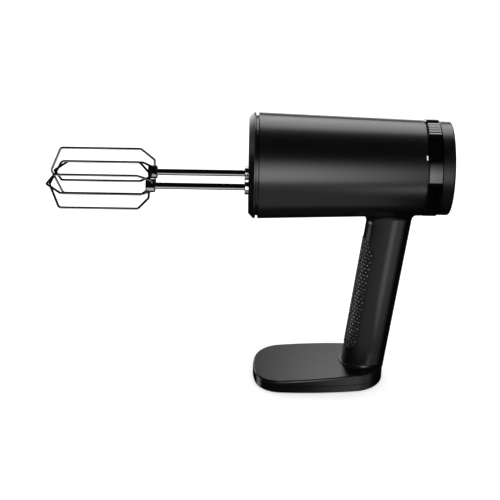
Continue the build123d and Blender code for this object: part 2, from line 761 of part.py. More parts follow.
def gearbox_plate(span):
    """Round plate across the barrel, cut away at the bottom, with holes for shafts and screws."""
    plate = rod(span[0], span[1], barrel_r(span[1]) - BARREL_WALL - 0.05)
    plate = plate - block(-70, 0, -60, 60, 150, AXIS_Z - 42)
    for y in (SPINDLE_Y, -SPINDLE_Y):
        plate = plate - rod(-70, 0, BUSH_R, y, SPINDLE_Z)
    plate = plate - rod(-70, 0, PIN_R, LAYSHAFT_Y, LAYSHAFT_Z)
    for y, z in PILLARS:
        plate = plate - rod(-70, 0, 1.5, y, z)
    return plate


def gearbox_front_plate():
    return gearbox_plate(FRONT_PLATE_X)


def gearbox_rear_plate():
    """Rear plate with the bosses that the motor is screwed to."""
    plate = gearbox_plate(REAR_PLATE_X)
    plate = plate - rod(-40, -20, 6.0)
    for y in (MOTOR_BOSS_Y, -MOTOR_BOSS_Y):
        plate = plate + rod(REAR_PLATE_X[1], MOTOR_FRONT_X, 3.0, y, AXIS_Z)
    return plate


def gearbox_pillars():
    pillars = []
    for y, z in PILLARS:
        pillars.append(tube(FRONT_PLATE_X[1], REAR_PLATE_X[0], 3.5, 1.5, y, z))
    return Compound(pillars)


def gearbox_screws():
    """Screws through the plates and pillars."""
    screws = []
    for y, z in PILLARS:
        shank = rod(FRONT_PLATE_X[0], REAR_PLATE_X[1], 1.5, y, z)
        head = rod(FRONT_PLATE_X[0] - 2.2, FRONT_PLATE_X[0], 3.0, y, z)
        slot = block(-62, FRONT_PLATE_X[0] - 1.2, y - 1.9, y + 1.9, z - 0.4, z + 0.4)
        slot = slot + block(-62, FRONT_PLATE_X[0] - 1.2, y - 0.4, y + 0.4, z - 1.9, z + 1.9)
        screws.append((shank + head) - slot)
    return Compound(screws)


def spindle_bushes():
    """Sintered bushes, two for each spindle."""
    bushes = []
    for y in (SPINDLE_Y, -SPINDLE_Y):
        for span in (FRONT_PLATE_X, REAR_PLATE_X):
            bushes.append(tube(span[0], span[1] + 1.5, BUSH_R, SPINDLE_R + RUNNING, y, SPINDLE_Z))
    return Compound(bushes)


# ---- Spindles ----------------------------------------------------------------

SNAP_X = (-66.6, -65.4)
EAR_X = (-73.0, -68.5)
EAR_HALF = 0.75


def spindle(y):
    """Hollow spindle with a drive slot at its mouth and a groove for the snap ring."""
    body = tube(SPINDLE_FRONT_X, SPINDLE_REAR_X, SPINDLE_R, SPINDLE_BORE_R, y, SPINDLE_Z)
    slot = block(-80, -68.0, y - EAR_HALF - 0.15, y + EAR_HALF + 0.15, SPINDLE_Z - 5.2, SPINDLE_Z + 5.2)
    groove = tube(SNAP_X[0], SNAP_X[1], 8, 4.8, y, SPINDLE_Z)
    return body - slot - groove


def snap_ring(y):
    """Split spring ring in the spindle's groove that grips the beater shaft."""
    ring = tube(SNAP_X[0] + 0.05, SNAP_X[1] - 0.05, 5.9, 4.8, y, SPINDLE_Z)
    gap = block(-70, -60, y - 1.5, y + 1.5, SPINDLE_Z + 2, SPINDLE_Z + 8)
    return ring - gap


def spindle_gear(y, phase):
    """Nylon gear with a hub, pressed on its spindle."""
    wheel = gear(OUTPUT_TEETH, OUTPUT_MODULE, OUTPUT_GEAR_X, y, SPINDLE_Z, phase, SPINDLE_R)
    recess = tube(OUTPUT_GEAR_X[0] - 1, OUTPUT_GEAR_X[0] + 2, 14.5, 9.0, y, SPINDLE_Z)
    return wheel - recess


# ---- Motor -------------------------------------------------------------------

BELL_X = (MOTOR_REAR_X - 0.0, MOTOR_REAR_X + 6.0)
CORE_X = (2.0, 38.0)
CORE_R = 18.0
CORE_SLOTS = 7
COMMUTATOR_X = (47.0, 55.0)
COMMUTATOR_R = 6.5
BEARING_R = 6.5
FAN_X = (64.5, 71.5)
FAN_R = 22.0


def motor_can():
    """Steel can, closed at the front, open at the rear for the end bell."""
    can = rod(MOTOR_FRONT_X, MOTOR_REAR_X, MOTOR_R) - rod(MOTOR_FRONT_X + 2, 80, MOTOR_R - 2)
    can = can - rod(-20, 0, BEARING_R)
    front = can.faces().sort_by(Axis.X)[0]
    can = fillet(front.outer_wire().edges(), 1.5)
    return can


def motor_magnets():
    """Two arc magnets inside the can."""
    ring = tube(0.0, 42.0, MOTOR_R - 2, CORE_R + 0.8)
    gap = block(-5, 50, -40, 40, AXIS_Z - 6, AXIS_Z + 6)
    return Compound((ring - gap).solids())


def motor_end_bell():
    """Moulded end that closes the can and holds the brushes and rear bearing."""
    bell = rod(BELL_X[0], BELL_X[1], MOTOR_R) + rod(BELL_X[0] - 4, BELL_X[0], MOTOR_R - 2)
    bell = bell - rod(BELL_X[0] - 5, BELL_X[0] + 2, MOTOR_R - 4.5)
    bell = bell - rod(BELL_X[0], BELL_X[1] + 1, BEARING_R)
    for degrees in (45, 135, 225, 315):
        bell = bell - about_axis(rod(BELL_X[0], BELL_X[1] + 1, 3.2, 0, AXIS_Z + 15), degrees)
    return bell


def motor_bearings():
    """Front and rear bearing rings."""
    front = tube(MOTOR_FRONT_X - 1, MOTOR_FRONT_X + 4, BEARING_R, SHAFT_R + 0.02)
    rear = tube(BELL_X[1] - 4.5, BELL_X[1] + 0.5, BEARING_R, SHAFT_R + 0.02)
    rings = []
    for ring, x0 in ((front, MOTOR_FRONT_X - 1), (rear, BELL_X[1] - 4.5)):
        rings.append(ring - tube(x0 - 1, x0 + 0.4, 5.2, 3.8) - tube(x0 + 4.6, x0 + 6, 5.2, 3.8))
    return Compound(rings)


def motor_shaft():
    return rod(MOTOR_PINION_X[0], FAN_X[1] + 1, SHAFT_R)


def rotor_slots(depth_r):
    """Winding slots between the rotor's poles."""
    slots = None
    for i in range(CORE_SLOTS):
        slot = block(CORE_X[0] - 8, CORE_X[1] + 8, -2.4, 2.4, AXIS_Z + depth_r, AXIS_Z + CORE_R - 2.2)
        mouth = block(CORE_X[0] - 1, CORE_X[1] + 1, -0.9, 0.9, AXIS_Z + CORE_R - 3, AXIS_Z + CORE_R + 2)
        piece = about_axis(slot + mouth, 360 * i / CORE_SLOTS)
        slots = piece if slots is None else slots + piece
    return slots


def rotor_core():
    """Laminated core with seven slots."""
    core = tube(CORE_X[0], CORE_X[1], CORE_R, SHAFT_R)
    return core - rotor_slots(8.0)


def rotor_windings():
    """Copper coils that fill the slots and bulge at both ends."""
    bars = None
    for i in range(CORE_SLOTS):
        bar = block(CORE_X[0] - 1, CORE_X[1] + 1, -2.2, 2.2, AXIS_Z + 8.4, AXIS_Z + CORE_R - 2.6)
        bar = about_axis(bar, 360 * i / CORE_SLOTS)
        bars = bar if bars is None else bars + bar
    for x0, x1 in ((CORE_X[0] - 5, CORE_X[0] - 0.3), (CORE_X[1] + 0.3, CORE_X[1] + 5)):
        end = tube(x0, x1, CORE_R - 1.5, 5.0)
        bars = bars + fillet(end.edges(), 1.2)
    return bars


def commutator():
    """Copper commutator, split into segments."""
    ring = tube(COMMUTATOR_X[0], COMMUTATOR_X[1], COMMUTATOR_R, SHAFT_R)
    for i in range(CORE_SLOTS):
        cut = block(COMMUTATOR_X[0] + 1.5, 60, -0.25, 0.25, AXIS_Z + 5.2, AXIS_Z + 8)
        ring = ring - about_axis(cut, 360 * i / CORE_SLOTS)
    return ring


def carbon_brushes():
    brushes = []
    for side in (1, -1):
        y0, y1 = sorted((side * (COMMUTATOR_R + 0.3), side * 14.0))
        brushes.append(block(48.5, 53.5, y0, y1, AXIS_Z - 2, AXIS_Z + 2))
    return Compound(brushes)


def brush_holders():
    """Brass boxes that guide the brushes."""
    holders = []
    for side in (1, -1):
        y0, y1 = sorted((side * 9.0, side * 19.0))
        box = block(47.7, 54.3, y0, y1, AXIS_Z - 2.8, AXIS_Z + 2.8)
        y0, y1 = sorted((side * 8.0, side * 18.2))
        holders.append(box - block(48.5, 53.5, y0, y1, AXIS_Z - 2, AXIS_Z + 2))
    return Compound(holders)


def cooling_fan():
    """Radial fan behind the motor."""
    fan = tube(FAN_X[0], FAN_X[1], 5.0, SHAFT_R) + tube(FAN_X[1] - 1.2, FAN_X[1], FAN_R, SHAFT_R)
    for i in range(12):
        blade = block(FAN_X[0], FAN_X[1] - 1, -0.6, 0.6, AXIS_Z + 9, AXIS_Z + FAN_R - 0.5)
        fan = fan + about_axis(blade, 30 * i)
    return fan


def motor_rear_mount():
    """Rubber ring between the motor and the barrel."""
    x0, x1 = 47.0, 52.0
    ring = tube(x0, x1, 40.0, MOTOR_R)
    ring = ring - block(x0 - 1, x1 + 1, -9, 9, LINK_Z - 4, LINK_Z + 20)
    for degrees in (72, 144, 216, 288):
        ring = ring - about_axis(rod(x0 - 1, x1 + 1, 5.0, 0, AXIS_Z + 32.5), degrees)
    return ring


# ---- Electrics ---------------------------------------------------------------

BOARD_X = (78.0, 79.6)


def control_board():
    """Round circuit board behind the fan, with its components and the dial sensor."""
    board = rod(BOARD_X[0], BOARD_X[1], 30.5)
    parts = [
        (0, 12, 9, 9, 1.4),
        (-15, 4, 6, 8, 3.0),
        (14, -6, 8, 5, 2.2),
        (-8, -15, 7, 7, 5.0),
        (6, -20, 10, 5, 1.2),
        (-20, -9, 4, 4, 2.0),
    ]
    for y, z, sy, sz, height in parts:
        part = block(
            BOARD_X[1] - 0.1,
            BOARD_X[1] + height,
            y - sy / 2,
            y + sy / 2,
            AXIS_Z + z - sz / 2,
            AXIS_Z + z + sz / 2,
        )
        board = board + part
    return board


def heat_sink():
    """Finned aluminium heat sink on the front of the board."""
    sink = block(BOARD_X[0] - 1.2, BOARD_X[0], -14, 14, AXIS_Z - 26, AXIS_Z - 12)
    for i in range(8):
        y = -13 + i * 26 / 7
        sink = sink + block(BOARD_X[0] - 4.5, BOARD_X[0] - 1, y - 0.5, y + 0.5, AXIS_Z - 26, AXIS_Z - 12)
    return sink


def bent_wire(points, r, bend):
    """Round wire along straight runs joined by arcs."""
    path = FilletPolyline(*points, radius=bend)
    start = Plane(origin=path @ 0, z_dir=path % 0)
    return sweep(start * Circle(r), path)


def motor_leads():
    """Two leads from the motor's brushes to the control board."""
    leads = []
    for side in (1, -1):
        leads.append(rod(62.2, 78.0, 1.1, side * 9, AXIS_Z + 23.6))
    return Compound(leads)


CELL_R = 9.1
CELL_LENGTH = 65.0
CELL_LOW_Z = 24.0
CELL_PITCH = 9.35


def leaning_rod(dx, z0, z1, r):
    """Cylinder parallel to the handle axis, offset by dx towards the rear."""
    lean = Vector(HANDLE_LEAN, 0, 1).normalized()
    plane = Plane(origin=(handle_x(z0) + dx, 0, z0), z_dir=lean)
    length = (z1 - z0) * Vector(HANDLE_LEAN, 0, 1).length
    return extrude(plane * Circle(r), length)


def battery_cells():
    """Four round cells in the handle, two beside each other and two high."""
    cells = []
    for level in range(2):
        z0 = CELL_LOW_Z + level * (CELL_LENGTH + 2.0)
        for dx in (-CELL_PITCH, CELL_PITCH):
            cell = leaning_rod(dx, z0, z0 + CELL_LENGTH, CELL_R)
            cap = leaning_rod(dx, z0 + CELL_LENGTH, z0 + CELL_LENGTH + 0.8, 3.0)
            cells.append(cell + cap)
    return Compound(cells)


def battery_end_caps():
    """Moulded caps that hold the cells at the bottom, the middle and the top."""
    top_z = CELL_LOW_Z + 2 * CELL_LENGTH + 2.0
    cells = battery_cells()
    caps = []
    for z0, z1 in ((CELL_LOW_Z - 4.0, CELL_LOW_Z + 5.0), (top_z - 5.0, top_z + 4.0)):
        caps.append(handle_column(HANDLE_WALL + 0.3, z0, z1) - cells)
    return Compound(caps)


def battery_leads():
    """Leads from the top of the battery pack to the control board."""
    leads = []
    for side in (1, -1):
        points = [(68.0, side * 6, 163.0), (70.0, side * 6, 184.0), (76.9, side * 6, 201.0)]
        leads.append(bent_wire(points, 1.0, 8.0))
    return Compound(leads)


# ---- Beaters -----------------------------------------------------------------


def beater_shaft(y):
    """Steel shaft with two ears that the spindle drives."""
    shaft = rod(FERRULE_X[0], BEATER_TAIL_X, BEATER_SHAFT_R, y, SPINDLE_Z)
    tail = shaft.faces().sort_by(Axis.X)[-1]
    shaft = chamfer(tail.edges(), 0.6)
    ears = block(EAR_X[0], EAR_X[1], y - EAR_HALF, y + EAR_HALF, SPINDLE_Z - 4.8, SPINDLE_Z + 4.8)
    return shaft + ears


def wire_loop(y, tip_x, entry_x, degrees):
    """Half loops of one beater wire, from the ferrule round the cage and back."""
    side = [
        (entry_x, BEATER_SHAFT_R + 0.35),
        (entry_x, 12.5),
        (FERRULE_X[0] - 6.5, CAGE_R),
        (tip_x + TIP_RUN, CAGE_R),
    ]
    half = [(x, y, SPINDLE_Z + r) for x, r in side]
    other = [(x, y, SPINDLE_Z - r) for x, r in reversed(side)]
    points = half + [(tip_x, y, SPINDLE_Z)] + other
    loop = bent_wire(points, WIRE_R, [2.6] + 5 * [WIRE_BEND] + [2.6])
    return about_axis(loop, degrees, y, SPINDLE_Z)


def beater_wires(y, degrees):
    """Two crossed wire loops, the inner one shorter at both ends."""
    outer = wire_loop(y, CAGE_TIP_X, FERRULE_X[0] + 6.4, degrees)
    inner = wire_loop(y, CAGE_TIP_X + LOOP_STEP, FERRULE_X[0] + 3.2, degrees + 90)
    return Compound([outer, inner])


def beater_ferrule(y, wires):
    """Crimped ferrule that holds the wires on the shaft."""
    body = rod(FERRULE_X[0], FERRULE_X[1], FERRULE_R, y, SPINDLE_Z)
    body = chamfer(body.edges(), 0.9)
    body = body - rod(-200, -100, BEATER_SHAFT_R, y, SPINDLE_Z)
    return body - wires


def main():
    os.makedirs("parts", exist_ok=True)
    export(main_housing(), "main_housing")
    export(front_cap(), "front_cap")
    export(rear_cap(), "rear_cap")
    export(rear_cap_screws(), "rear_cap_screws")
    export(bottom_cover(), "bottom_cover")
    export(foot_sole(), "foot_sole")
    export(base_screws(), "base_screws")
    export(ballast_plate(), "ballast_plate")
    export(charging_port(), "charging_port")
    export(charging_board(), "charging_board")
    export(grip_inlay(), "grip_inlay")
    export(index_mark(), "index_mark")
    export(beater_collars(), "beater_collars")
    export(gearbox_front_plate(), "gearbox_front_plate")
    export(gearbox_rear_plate(), "gearbox_rear_plate")
    export(gearbox_pillars(), "gearbox_pillars")
    export(gearbox_screws(), "gearbox_screws")
    export(spindle_bushes(), "spindle_bushes")
    export(intermediate_gear_pin(), "intermediate_gear_pin")
    export(motor_can(), "motor_can")
    export(motor_magnets(), "motor_magnets")
    export(motor_end_bell(), "motor_end_bell")
    export(motor_bearings(), "motor_bearings")
    export(brush_holders(), "brush_holders")
    export(carbon_brushes(), "carbon_brushes")
    export(motor_rear_mount(), "motor_rear_mount")
    export(control_board(), "control_board")
    export(heat_sink(), "heat_sink")
    export(motor_leads(), "motor_leads")
    export(battery_cells(), "battery_cells")
    export(battery_end_caps(), "battery_end_caps")
    export(battery_leads(), "battery_leads")
    export(dial_detent_spring(), "dial_detent_spring")
    export(eject_return_spring(), "eject_return_spring")

    near_phase, small_phase, pinion_phase = gear_phases()
    export(motor_shaft(), "motor_shaft")
    export(rotor_core(), "rotor_core")
    export(rotor_windings(), "rotor_windings")
    export(commutator(), "commutator")
    export(cooling_fan(), "cooling_fan")
    pinion = gear(INPUT_TEETH, INPUT_MODULE, MOTOR_PINION_X, 0, AXIS_Z, pinion_phase, SHAFT_R)
    export(pinion, "motor_pinion")
    export(intermediate_gear(small_phase), "intermediate_gear")

    for name, y, phase, turn in (("far", SPINDLE_Y, 0, 0), ("near", -SPINDLE_Y, near_phase, 45)):
        export(spindle(y), name + "_spindle")
        export(spindle_gear(y, phase), name + "_spindle_gear")
        export(snap_ring(y), name + "_snap_ring")
        export(push_pin(y), name + "_push_pin")
        wires = beater_wires(y, turn)
        export(beater_shaft(y), name + "_beater_shaft")
        export(beater_ferrule(y, wires), name + "_beater_ferrule")
        export(wires, name + "_beater_wires")

    export(speed_dial(), "speed_dial")
    export(dial_magnet(), "dial_magnet")
    export(eject_button(), "eject_button")
    export(eject_link(), "eject_link")


main()
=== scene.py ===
"""Hand mixer on a pale floor: the CAD frame with its materials, grip lattice, lights and camera."""

import json
import math

import bmesh
import bpy
from mathutils import Matrix, Vector


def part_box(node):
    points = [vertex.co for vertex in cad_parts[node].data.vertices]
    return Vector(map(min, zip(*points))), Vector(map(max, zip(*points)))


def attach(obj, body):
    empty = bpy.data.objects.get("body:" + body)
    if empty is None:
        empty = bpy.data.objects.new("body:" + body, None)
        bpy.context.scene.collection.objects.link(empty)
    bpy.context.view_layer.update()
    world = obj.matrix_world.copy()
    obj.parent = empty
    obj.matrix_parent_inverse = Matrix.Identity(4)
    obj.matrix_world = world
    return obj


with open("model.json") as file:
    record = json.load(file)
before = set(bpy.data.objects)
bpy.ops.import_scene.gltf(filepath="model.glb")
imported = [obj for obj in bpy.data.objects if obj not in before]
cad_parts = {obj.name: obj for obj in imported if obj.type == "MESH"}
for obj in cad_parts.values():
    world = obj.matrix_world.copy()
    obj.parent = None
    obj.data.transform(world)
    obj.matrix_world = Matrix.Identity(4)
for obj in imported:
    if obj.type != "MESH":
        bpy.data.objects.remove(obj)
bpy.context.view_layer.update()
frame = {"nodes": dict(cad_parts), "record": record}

MM = 0.001

# ---- Shader helpers ----------------------------------------------------------


def new_material(name, color, roughness, metallic=0.0, ior=1.5):
    """Principled material, with its node tree and shader."""
    mat = bpy.data.materials.new(name)
    mat.use_nodes = True
    tree = mat.node_tree
    shader = tree.nodes["Principled BSDF"]
    shader.inputs["Base Color"].default_value = (*color, 1)
    shader.inputs["Roughness"].default_value = roughness
    shader.inputs["Metallic"].default_value = metallic
    shader.inputs["IOR"].default_value = ior
    return mat, tree, shader


def place(tree, stretch=(1, 1, 1)):
    """Object coordinates in metres, stretched along the axes."""
    coords = tree.nodes.new("ShaderNodeTexCoord")
    mapping = tree.nodes.new("ShaderNodeMapping")
    mapping.inputs["Scale"].default_value = stretch
    tree.links.new(coords.outputs["Object"], mapping.inputs["Vector"])
    return mapping.outputs["Vector"]


def noise(tree, size, detail=3.0, stretch=(1, 1, 1)):
    """Noise whose features are about size metres across."""
    node = tree.nodes.new("ShaderNodeTexNoise")
    node.inputs["Scale"].default_value = 1 / size
    node.inputs["Detail"].default_value = detail
    tree.links.new(place(tree, stretch), node.inputs["Vector"])
    return node.outputs["Fac"]


def spread(tree, value, low, high, start=0.3, end=0.7):
    """Map a 0..1 value onto low..high."""
    node = tree.nodes.new("ShaderNodeMapRange")
    node.inputs["From Min"].default_value = start
    node.inputs["From Max"].default_value = end
    node.inputs["To Min"].default_value = low
    node.inputs["To Max"].default_value = high
    tree.links.new(value, node.inputs["Value"])
    return node.outputs["Result"]


def mix_color(tree, share, first, second):
    """Colour between two colours, by share."""
    node = tree.nodes.new("ShaderNodeMix")
    node.data_type = "RGBA"
    for socket, color in zip((node.inputs[6], node.inputs[7]), (first, second)):
        if isinstance(color, tuple):
            socket.default_value = (*color, 1)
        else:
            tree.links.new(color, socket)
    tree.links.new(share, node.inputs[0])
    return node.outputs[2]


def bump(tree, shader, height, distance, strength=1.0, under=None):
    """Bump on the shader, over an earlier bump if given."""
    node = tree.nodes.new("ShaderNodeBump")
    node.inputs["Distance"].default_value = distance
    node.inputs["Strength"].default_value = strength
    tree.links.new(height, node.inputs["Height"])
    if under is not None:
        tree.links.new(under, node.inputs["Normal"])
    tree.links.new(node.outputs["Normal"], shader.inputs["Normal"])
    return node.outputs["Normal"]


def edge_share(tree, low=0.52, high=0.62):
    """0 on flat faces, 1 on convex edges."""
    geometry = tree.nodes.new("ShaderNodeNewGeometry")
    return spread(tree, geometry.outputs["Pointiness"], 0.0, 1.0, low, high)


def brighter(color, factor):
    return tuple(min(1.0, c * factor) for c in color)


# ---- Materials ---------------------------------------------------------------


def satin_plastic(name, color, roughness=0.29, grain=0.35 * MM, depth=0.005 * MM):
    """Moulded plastic with a fine spark-eroded grain and slightly lighter convex edges."""
    mat, tree, shader = new_material(name, color, roughness)
    broad = noise(tree, 40 * MM, 2)
    fine = noise(tree, grain, 4)
    tone = mix_color(tree, broad, brighter(color, 0.8), brighter(color, 1.25))
    # Convex edges lighter than the faces, up to 2.2 times the base colour.
    lightened_edges = mix_color(tree, edge_share(tree), tone, brighter(color, 2.2))
    tree.links.new(lightened_edges, shader.inputs["Base Color"])
    tree.links.new(spread(tree, fine, roughness - 0.04, roughness + 0.05), shader.inputs["Roughness"])
    bump(tree, shader, fine, depth)
    return mat


def gloss_plastic(name, color, roughness=0.07, ior=1.5):
    """Polished plastic with a faint haze of handling marks."""
    mat, tree, shader = new_material(name, color, roughness, ior=ior)
    smudge = noise(tree, 9 * MM, 5)
    hairline = noise(tree, 0.6 * MM, 2, (0.15, 1, 1))
    tone = mix_color(tree, smudge, brighter(color, 0.85), brighter(color, 1.2))
    tree.links.new(tone, shader.inputs["Base Color"])
    tree.links.new(spread(tree, smudge, roughness * 0.7, roughness * 1.9), shader.inputs["Roughness"])
    bump(tree, shader, hairline, 0.0015 * MM, 0.5)
    return mat


def rubber(name, color, roughness=0.6, grain=0.5 * MM, ior=1.5):
    """Soft rubber with a powdery micro texture."""
    mat, tree, shader = new_material(name, color, roughness, ior=ior)
    fine = noise(tree, grain, 5)
    broad = noise(tree, 14 * MM, 3)
    tone = mix_color(tree, broad, brighter(color, 0.75), brighter(color, 1.4))
    tree.links.new(tone, shader.inputs["Base Color"])
    tree.links.new(spread(tree, fine, roughness - 0.08, roughness + 0.1), shader.inputs["Roughness"])
    shader.inputs["Sheen Weight"].default_value = 0.04
    bump(tree, shader, fine, 0.01 * MM)
    return mat


def chrome(name, tint, roughness=0.08):
    """Plated steel with polishing lines and a trace of haze."""
    mat, tree, shader = new_material(name, tint, roughness, metallic=1.0)
    lines = noise(tree, 0.25 * MM, 3, (0.06, 1, 1))
    haze = noise(tree, 12 * MM, 4)
    tone = mix_color(tree, haze, brighter(tint, 0.93), brighter(tint, 1.05))
    tree.links.new(tone, shader.inputs["Base Color"])
    tree.links.new(spread(tree, haze, roughness * 0.6, roughness * 1.6), shader.inputs["Roughness"])
    bump(tree, shader, lines, 0.0012 * MM, 0.6)
    return mat


def worked_metal(name, tint, roughness=0.3, stretch=(0.05, 1, 1), line=0.3 * MM):
    """Ground or drawn metal with tool lines and dull patches."""
    mat, tree, shader = new_material(name, tint, roughness, metallic=1.0)
    lines = noise(tree, line, 4, stretch)
    patches = noise(tree, 7 * MM, 4)
    tone = mix_color(tree, patches, brighter(tint, 0.8), brighter(tint, 1.1))
    bright_edge = mix_color(tree, edge_share(tree), tone, brighter(tint, 1.35))
    tree.links.new(bright_edge, shader.inputs["Base Color"])
    tree.links.new(spread(tree, lines, roughness - 0.08, roughness + 0.12), shader.inputs["Roughness"])
    bump(tree, shader, lines, 0.006 * MM)
    return mat


def spangled_sheet(name, tint):
    """Galvanised sheet with zinc spangles."""
    mat, tree, shader = new_material(name, tint, 0.38, metallic=1.0)
    cells = tree.nodes.new("ShaderNodeTexVoronoi")
    cells.inputs["Scale"].default_value = 1 / (3.5 * MM)
    tree.links.new(place(tree), cells.inputs["Vector"])
    shade = spread(tree, cells.outputs["Color"], 0.0, 1.0, 0.2, 0.8)
    tone = mix_color(tree, shade, brighter(tint, 0.75), brighter(tint, 1.15))
    tree.links.new(tone, shader.inputs["Base Color"])
    tree.links.new(spread(tree, shade, 0.28, 0.5, 0, 1), shader.inputs["Roughness"])
    bump(tree, shader, noise(tree, 0.4 * MM, 3), 0.004 * MM)
    return mat


def sintered(name, tint, metallic):
    """Pressed powder: bronze, ferrite or carbon with open pores."""
    mat, tree, shader = new_material(name, tint, 0.55, metallic=metallic)
    pores = noise(tree, 0.35 * MM, 6)
    tone = mix_color(tree, pores, brighter(tint, 0.6), brighter(tint, 1.3))
    tree.links.new(tone, shader.inputs["Base Color"])
    tree.links.new(spread(tree, pores, 0.75, 0.42), shader.inputs["Roughness"])
    bump(tree, shader, pores, 0.03 * MM)
    return mat


def layered_steel(name, tint):
    """Stacked laminations across X."""
    mat, tree, shader = new_material(name, tint, 0.45, metallic=1.0)
    wave = tree.nodes.new("ShaderNodeTexWave")
    wave.bands_direction = "X"
    wave.inputs["Scale"].default_value = 1 / (2 * math.pi * 0.5 * MM) * 2
    wave.inputs["Distortion"].default_value = 0.2
    tree.links.new(place(tree), wave.inputs["Vector"])
    tone = mix_color(tree, wave.outputs["Fac"], brighter(tint, 0.35), brighter(tint, 1.2))
    tree.links.new(tone, shader.inputs["Base Color"])
    bump(tree, shader, wave.outputs["Fac"], 0.05 * MM)
    return mat


def wound_copper(name, tint):
    """Enamelled copper wire laid side by side."""
    mat, tree, shader = new_material(name, tint, 0.28, metallic=1.0)
    wave = tree.nodes.new("ShaderNodeTexWave")
    wave.bands_direction = "DIAGONAL"
    wave.inputs["Scale"].default_value = 1 / (2 * math.pi * 0.4 * MM) * 2
    wave.inputs["Distortion"].default_value = 1.5
    wave.inputs["Detail Scale"].default_value = 2.0
    tree.links.new(place(tree), wave.inputs["Vector"])
    tone = mix_color(tree, wave.outputs["Fac"], brighter(tint, 0.3), brighter(tint, 1.2))
    tree.links.new(tone, shader.inputs["Base Color"])
    shader.inputs["Coat Weight"].default_value = 0.6
    bump(tree, shader, wave.outputs["Fac"], 0.12 * MM)
    return mat


def nylon(name, color):
    """Natural nylon: waxy, faintly translucent, with flow marks."""
    mat, tree, shader = new_material(name, color, 0.35)
    flow = noise(tree, 5 * MM, 4, (1, 0.4, 1))
    tone = mix_color(tree, flow, brighter(color, 0.85), brighter(color, 1.08))
    tree.links.new(tone, shader.inputs["Base Color"])
    tree.links.new(spread(tree, flow, 0.28, 0.44), shader.inputs["Roughness"])
    shader.inputs["Subsurface Weight"].default_value = 0.2
    shader.inputs["Subsurface Radius"].default_value = (2 * MM, 1.6 * MM, 1.2 * MM)
    bump(tree, shader, noise(tree, 0.3 * MM, 3), 0.006 * MM)
    return mat


def circuit_board(name, color):
    """Solder resist with tracks and small pads."""
    mat, tree, shader = new_material(name, color, 0.3)
    bricks = tree.nodes.new("ShaderNodeTexBrick")
    bricks.inputs["Scale"].default_value = 1 / (6 * MM)
    bricks.inputs["Mortar Size"].default_value = 0.05
    bricks.inputs["Color1"].default_value = (*color, 1)
    bricks.inputs["Color2"].default_value = (*brighter(color, 1.5), 1)
    bricks.inputs["Mortar"].default_value = (*brighter(color, 2.6), 1)
    swap = tree.nodes.new("ShaderNodeMapping")
    swap.inputs["Rotation"].default_value = (0, math.radians(90), 0)
    tree.links.new(place(tree), swap.inputs["Vector"])
    tree.links.new(swap.outputs["Vector"], bricks.inputs["Vector"])
    tree.links.new(bricks.outputs["Color"], shader.inputs["Base Color"])
    bump(tree, shader, bricks.outputs["Fac"], 0.03 * MM)
    return mat


def cell_wrap(name, color):
    """Heat-shrink film, tight over the cell, with fine wrinkles."""
    mat, tree, shader = new_material(name, color, 0.16)
    wrinkle = noise(tree, 3 * MM, 4, (1, 1, 0.25))
    tone = mix_color(tree, wrinkle, brighter(color, 0.8), brighter(color, 1.25))
    tree.links.new(tone, shader.inputs["Base Color"])
    tree.links.new(spread(tree, wrinkle, 0.1, 0.26), shader.inputs["Roughness"])
    shader.inputs["Coat Weight"].default_value = 0.4
    bump(tree, shader, wrinkle, 0.06 * MM)
    return mat


def printed_ink(name, color):
    """Screen-printed ink with a slightly broken edge."""
    mat, tree, shader = new_material(name, color, 0.42)
    grain = noise(tree, 0.3 * MM, 5)
    tone = mix_color(tree, grain, brighter(color, 0.86), color)
    tree.links.new(tone, shader.inputs["Base Color"])
    tree.links.new(spread(tree, grain, 0.36, 0.52), shader.inputs["Roughness"])
    bump(tree, shader, grain, 0.01 * MM)
    return mat


BLACK = (0.0016, 0.0016, 0.0017)
DEEP_BLACK = (0.0008, 0.0008, 0.0009)

